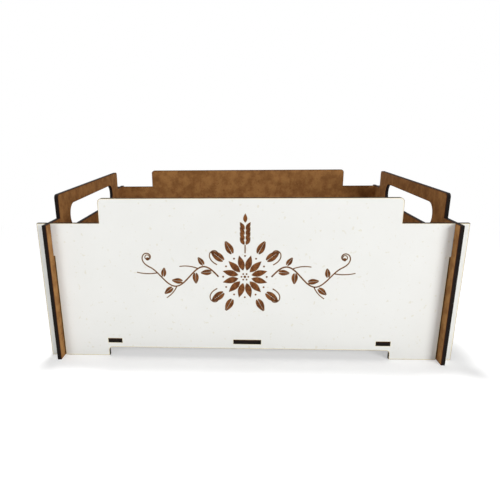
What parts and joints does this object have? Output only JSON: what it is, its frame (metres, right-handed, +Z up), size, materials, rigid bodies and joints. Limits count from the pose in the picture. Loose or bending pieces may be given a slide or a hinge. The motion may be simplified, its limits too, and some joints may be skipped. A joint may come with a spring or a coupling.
{
  "type": "knock-down panel crate",
  "caption": "Open-topped crate of slotted flat panels, with raised middles, round-ended hand holes in the end panels and feet cut in the panels.",
  "frame": {"origin": "on the ground under the middle of the crate", "axes": "+X along the long sides, +Y from the decorated front to the back, +Z up"},
  "size_m": [0.3, 0.222, 0.1205],
  "materials": {
    "wall_board": "thin hardboard, satin white coat outside, raw brown inside, dark laser-burnt edges",
    "floor_board": "thin raw brown hardboard with dark laser-burnt edges"
  },
  "bodies": {
    "root": {"front_panel": "wall_board", "back_panel": "wall_board", "left_end_panel": "wall_board", "right_end_panel": "wall_board", "floor_panel": "floor_board"}
  },
  "joints": []
}
